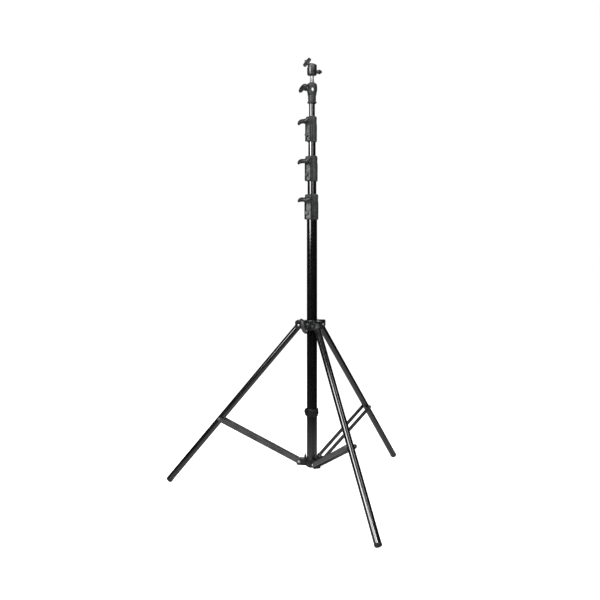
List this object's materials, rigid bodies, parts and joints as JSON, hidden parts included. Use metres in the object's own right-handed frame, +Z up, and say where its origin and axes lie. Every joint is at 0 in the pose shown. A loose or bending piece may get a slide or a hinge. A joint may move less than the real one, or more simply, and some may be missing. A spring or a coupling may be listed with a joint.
{
  "type": "light stand",
  "caption": "Folding light stand with tube legs on a sliding hub, flat braces, telescoping risers in split clamp collars, a slotted top casting, spigot and small ball head.",
  "frame": {"origin": "centre of the flat underside of the column's end plug, on the column's axis; the feet stand 0.080 m below it", "axes": "+Z up along the column, +X along the head's wing knob, +Y through the top casting's cross slot; the legs lie at -70, 50 and 170 degrees from +X"},
  "size_m": [0.8405, 0.8801, 1.4583],
  "materials": {
    "tube": "gloss black anodised",
    "leg": "satin black",
    "casting": "dark grey satin casting",
    "bar": "dark grey satin",
    "moulded": "moulded black",
    "bush": "moulded black",
    "rubber": "matte black",
    "steel": "bright zinc"
  },
  "bodies": {
    "column": {"column_tube": "tube", "column_end_plug": "moulded", "spider": "casting", "spider_pin_1": "steel", "spider_pin_2": "steel", "spider_pin_3": "steel", "hub_stop_ring": "casting", "hub_stop_ring_screw": "steel", "collar_1_body": "casting", "collar_1_bush": "bush", "collar_1_bolt": "steel"},
    "hub": {"hub_body": "casting", "hub_pin_1": "steel", "hub_pin_2": "steel", "hub_pin_3": "steel"},
    "hub_handle": {"hub_knob": "moulded"},
    "collar_1_handle": {"collar_1_knob": "moulded"},
    "riser_1": {"riser_1_tube": "tube", "riser_1_slide_bush": "bush", "collar_2_body": "casting", "collar_2_bush": "bush", "collar_2_bolt": "steel"},
    "collar_2_handle": {"collar_2_knob": "moulded"},
    "riser_2": {"riser_2_tube": "tube", "riser_2_slide_bush": "bush", "collar_3_body": "casting", "collar_3_bush": "bush", "collar_3_bolt": "steel"},
    "collar_3_handle": {"collar_3_knob": "moulded"},
    "riser_3": {"riser_3_tube": "tube", "riser_3_slide_bush": "bush", "receiver_body": "casting"},
    "receiver_handle": {"receiver_knob": "moulded"},
    "head": {"spigot": "steel", "head_body": "moulded"},
    "head_wing": {"head_knob": "moulded"},
    "platform": {"head_ball": "steel", "head_platform": "moulded"},
    "lock_ring": {"head_lock_ring": "casting"},
    "leg_1": {"leg_1_tube": "leg", "leg_1_hinge_end": "casting", "leg_1_foot": "rubber"},
    "brace_1": {"brace_1_left_bar": "bar", "brace_1_right_bar": "bar", "brace_1_left_bolt": "steel", "brace_1_right_bolt": "steel"},
    "leg_2": {"leg_2_tube": "leg", "leg_2_hinge_end": "casting", "leg_2_foot": "rubber"},
    "brace_2": {"brace_2_left_bar": "bar", "brace_2_right_bar": "bar", "brace_2_left_bolt": "steel", "brace_2_right_bolt": "steel"},
    "leg_3": {"leg_3_tube": "leg", "leg_3_hinge_end": "casting", "leg_3_foot": "rubber"},
    "brace_3": {"brace_3_left_bar": "bar", "brace_3_right_bar": "bar", "brace_3_left_bolt": "steel", "brace_3_right_bolt": "steel"}
  },
  "joints": [
    {"name": "hub_slide", "type": "slide", "parent": "column", "child": "hub", "axis": [0, 0, 1], "range_m": [0, 0.2743]},
    {"name": "leg_1_hinge", "type": "hinge", "parent": "hub", "child": "leg_1", "pos_m": [0.01471, -0.04041, 0.4767], "axis": [0.9397, 0.342, 0], "range_deg": [0, 37.14]},
    {"name": "brace_1_hinge", "type": "hinge", "parent": "column", "child": "brace_1", "pos_m": [0.01447, -0.03975, 0.0175], "axis": [0.9397, 0.342, 0], "range_deg": [-60.35, 0]},
    {"name": "leg_2_hinge", "type": "hinge", "parent": "hub", "child": "leg_2", "pos_m": [0.02764, 0.03294, 0.4767], "axis": [-0.766, 0.6428, 0], "range_deg": [0, 37.14]},
    {"name": "brace_2_hinge", "type": "hinge", "parent": "column", "child": "brace_2", "pos_m": [0.02719, 0.0324, 0.0175], "axis": [-0.766, 0.6428, 0], "range_deg": [-60.35, 0]},
    {"name": "leg_3_hinge", "type": "hinge", "parent": "hub", "child": "leg_3", "pos_m": [-0.04235, 0.00747, 0.4767], "axis": [-0.1736, -0.9848, 0], "range_deg": [0, 37.14]},
    {"name": "brace_3_hinge", "type": "hinge", "parent": "column", "child": "brace_3", "pos_m": [-0.04166, 0.00734, 0.0175], "axis": [-0.1736, -0.9848, 0], "range_deg": [-60.35, 0]},
    {"name": "hub_handle_turn", "type": "hinge", "parent": "hub", "child": "hub_handle", "pos_m": [0, 0, 0.4767], "axis": [-0.6428, -0.766, 0], "range_deg": [0, 360]},
    {"name": "riser_1_slide", "type": "slide", "parent": "column", "child": "riser_1", "axis": [0, 0, 1], "range_m": [-0.038, 0.7]},
    {"name": "riser_2_slide", "type": "slide", "parent": "riser_1", "child": "riser_2", "axis": [0, 0, 1], "range_m": [-0.04, 0.7]},
    {"name": "riser_3_slide", "type": "slide", "parent": "riser_2", "child": "riser_3", "axis": [0, 0, 1], "range_m": [-0.038, 0.7]},
    {"name": "collar_1_handle_turn", "type": "hinge", "parent": "column", "child": "collar_1_handle", "pos_m": [0, 0, 0.897], "axis": [-0.5736, -0.8192, 0], "range_deg": [0, 360]},
    {"name": "collar_2_handle_turn", "type": "hinge", "parent": "riser_1", "child": "collar_2_handle", "pos_m": [0, 0, 1.0259], "axis": [-0.6561, -0.7547, 0], "range_deg": [0, 360]},
    {"name": "collar_3_handle_turn", "type": "hinge", "parent": "riser_2", "child": "collar_3_handle", "pos_m": [0, 0, 1.1591], "axis": [-0.7314, -0.682, 0], "range_deg": [0, 360]},
    {"name": "receiver_handle_turn", "type": "hinge", "parent": "riser_3", "child": "receiver_handle", "pos_m": [0, 0, 1.2723], "axis": [-0.9063, -0.4226, 0], "range_deg": [0, 360]},
    {"name": "head_turn", "type": "hinge", "parent": "riser_3", "child": "head", "pos_m": [0, 0, 1.2938], "axis": [0, 0, 1], "continuous": true},
    {"name": "head_wing_turn", "type": "hinge", "parent": "head", "child": "head_wing", "pos_m": [0, 0, 1.3304], "axis": [1, 0, 0], "range_deg": [0, 360]},
    {"name": "ball_tilt", "type": "hinge", "parent": "head", "child": "platform", "pos_m": [0, 0, 1.3488], "axis": [0, 1, 0], "range_deg": [-38, 49.6]},
    {"name": "lock_ring_turn", "type": "hinge", "parent": "platform", "child": "lock_ring", "pos_m": [0, 0, 1.3488], "axis": [-0.7615, 0, 0.6481], "continuous": true}
  ],
  "couplings": [
    {"joint": "leg_1_hinge", "follows": "hub_slide", "rad_per_m": 2.3599},
    {"joint": "brace_1_hinge", "follows": "hub_slide", "rad_per_m": -3.8369},
    {"joint": "leg_2_hinge", "follows": "hub_slide", "rad_per_m": 2.3599},
    {"joint": "brace_2_hinge", "follows": "hub_slide", "rad_per_m": -3.8369},
    {"joint": "leg_3_hinge", "follows": "hub_slide", "rad_per_m": 2.3599},
    {"joint": "brace_3_hinge", "follows": "hub_slide", "rad_per_m": -3.8369}
  ]
}
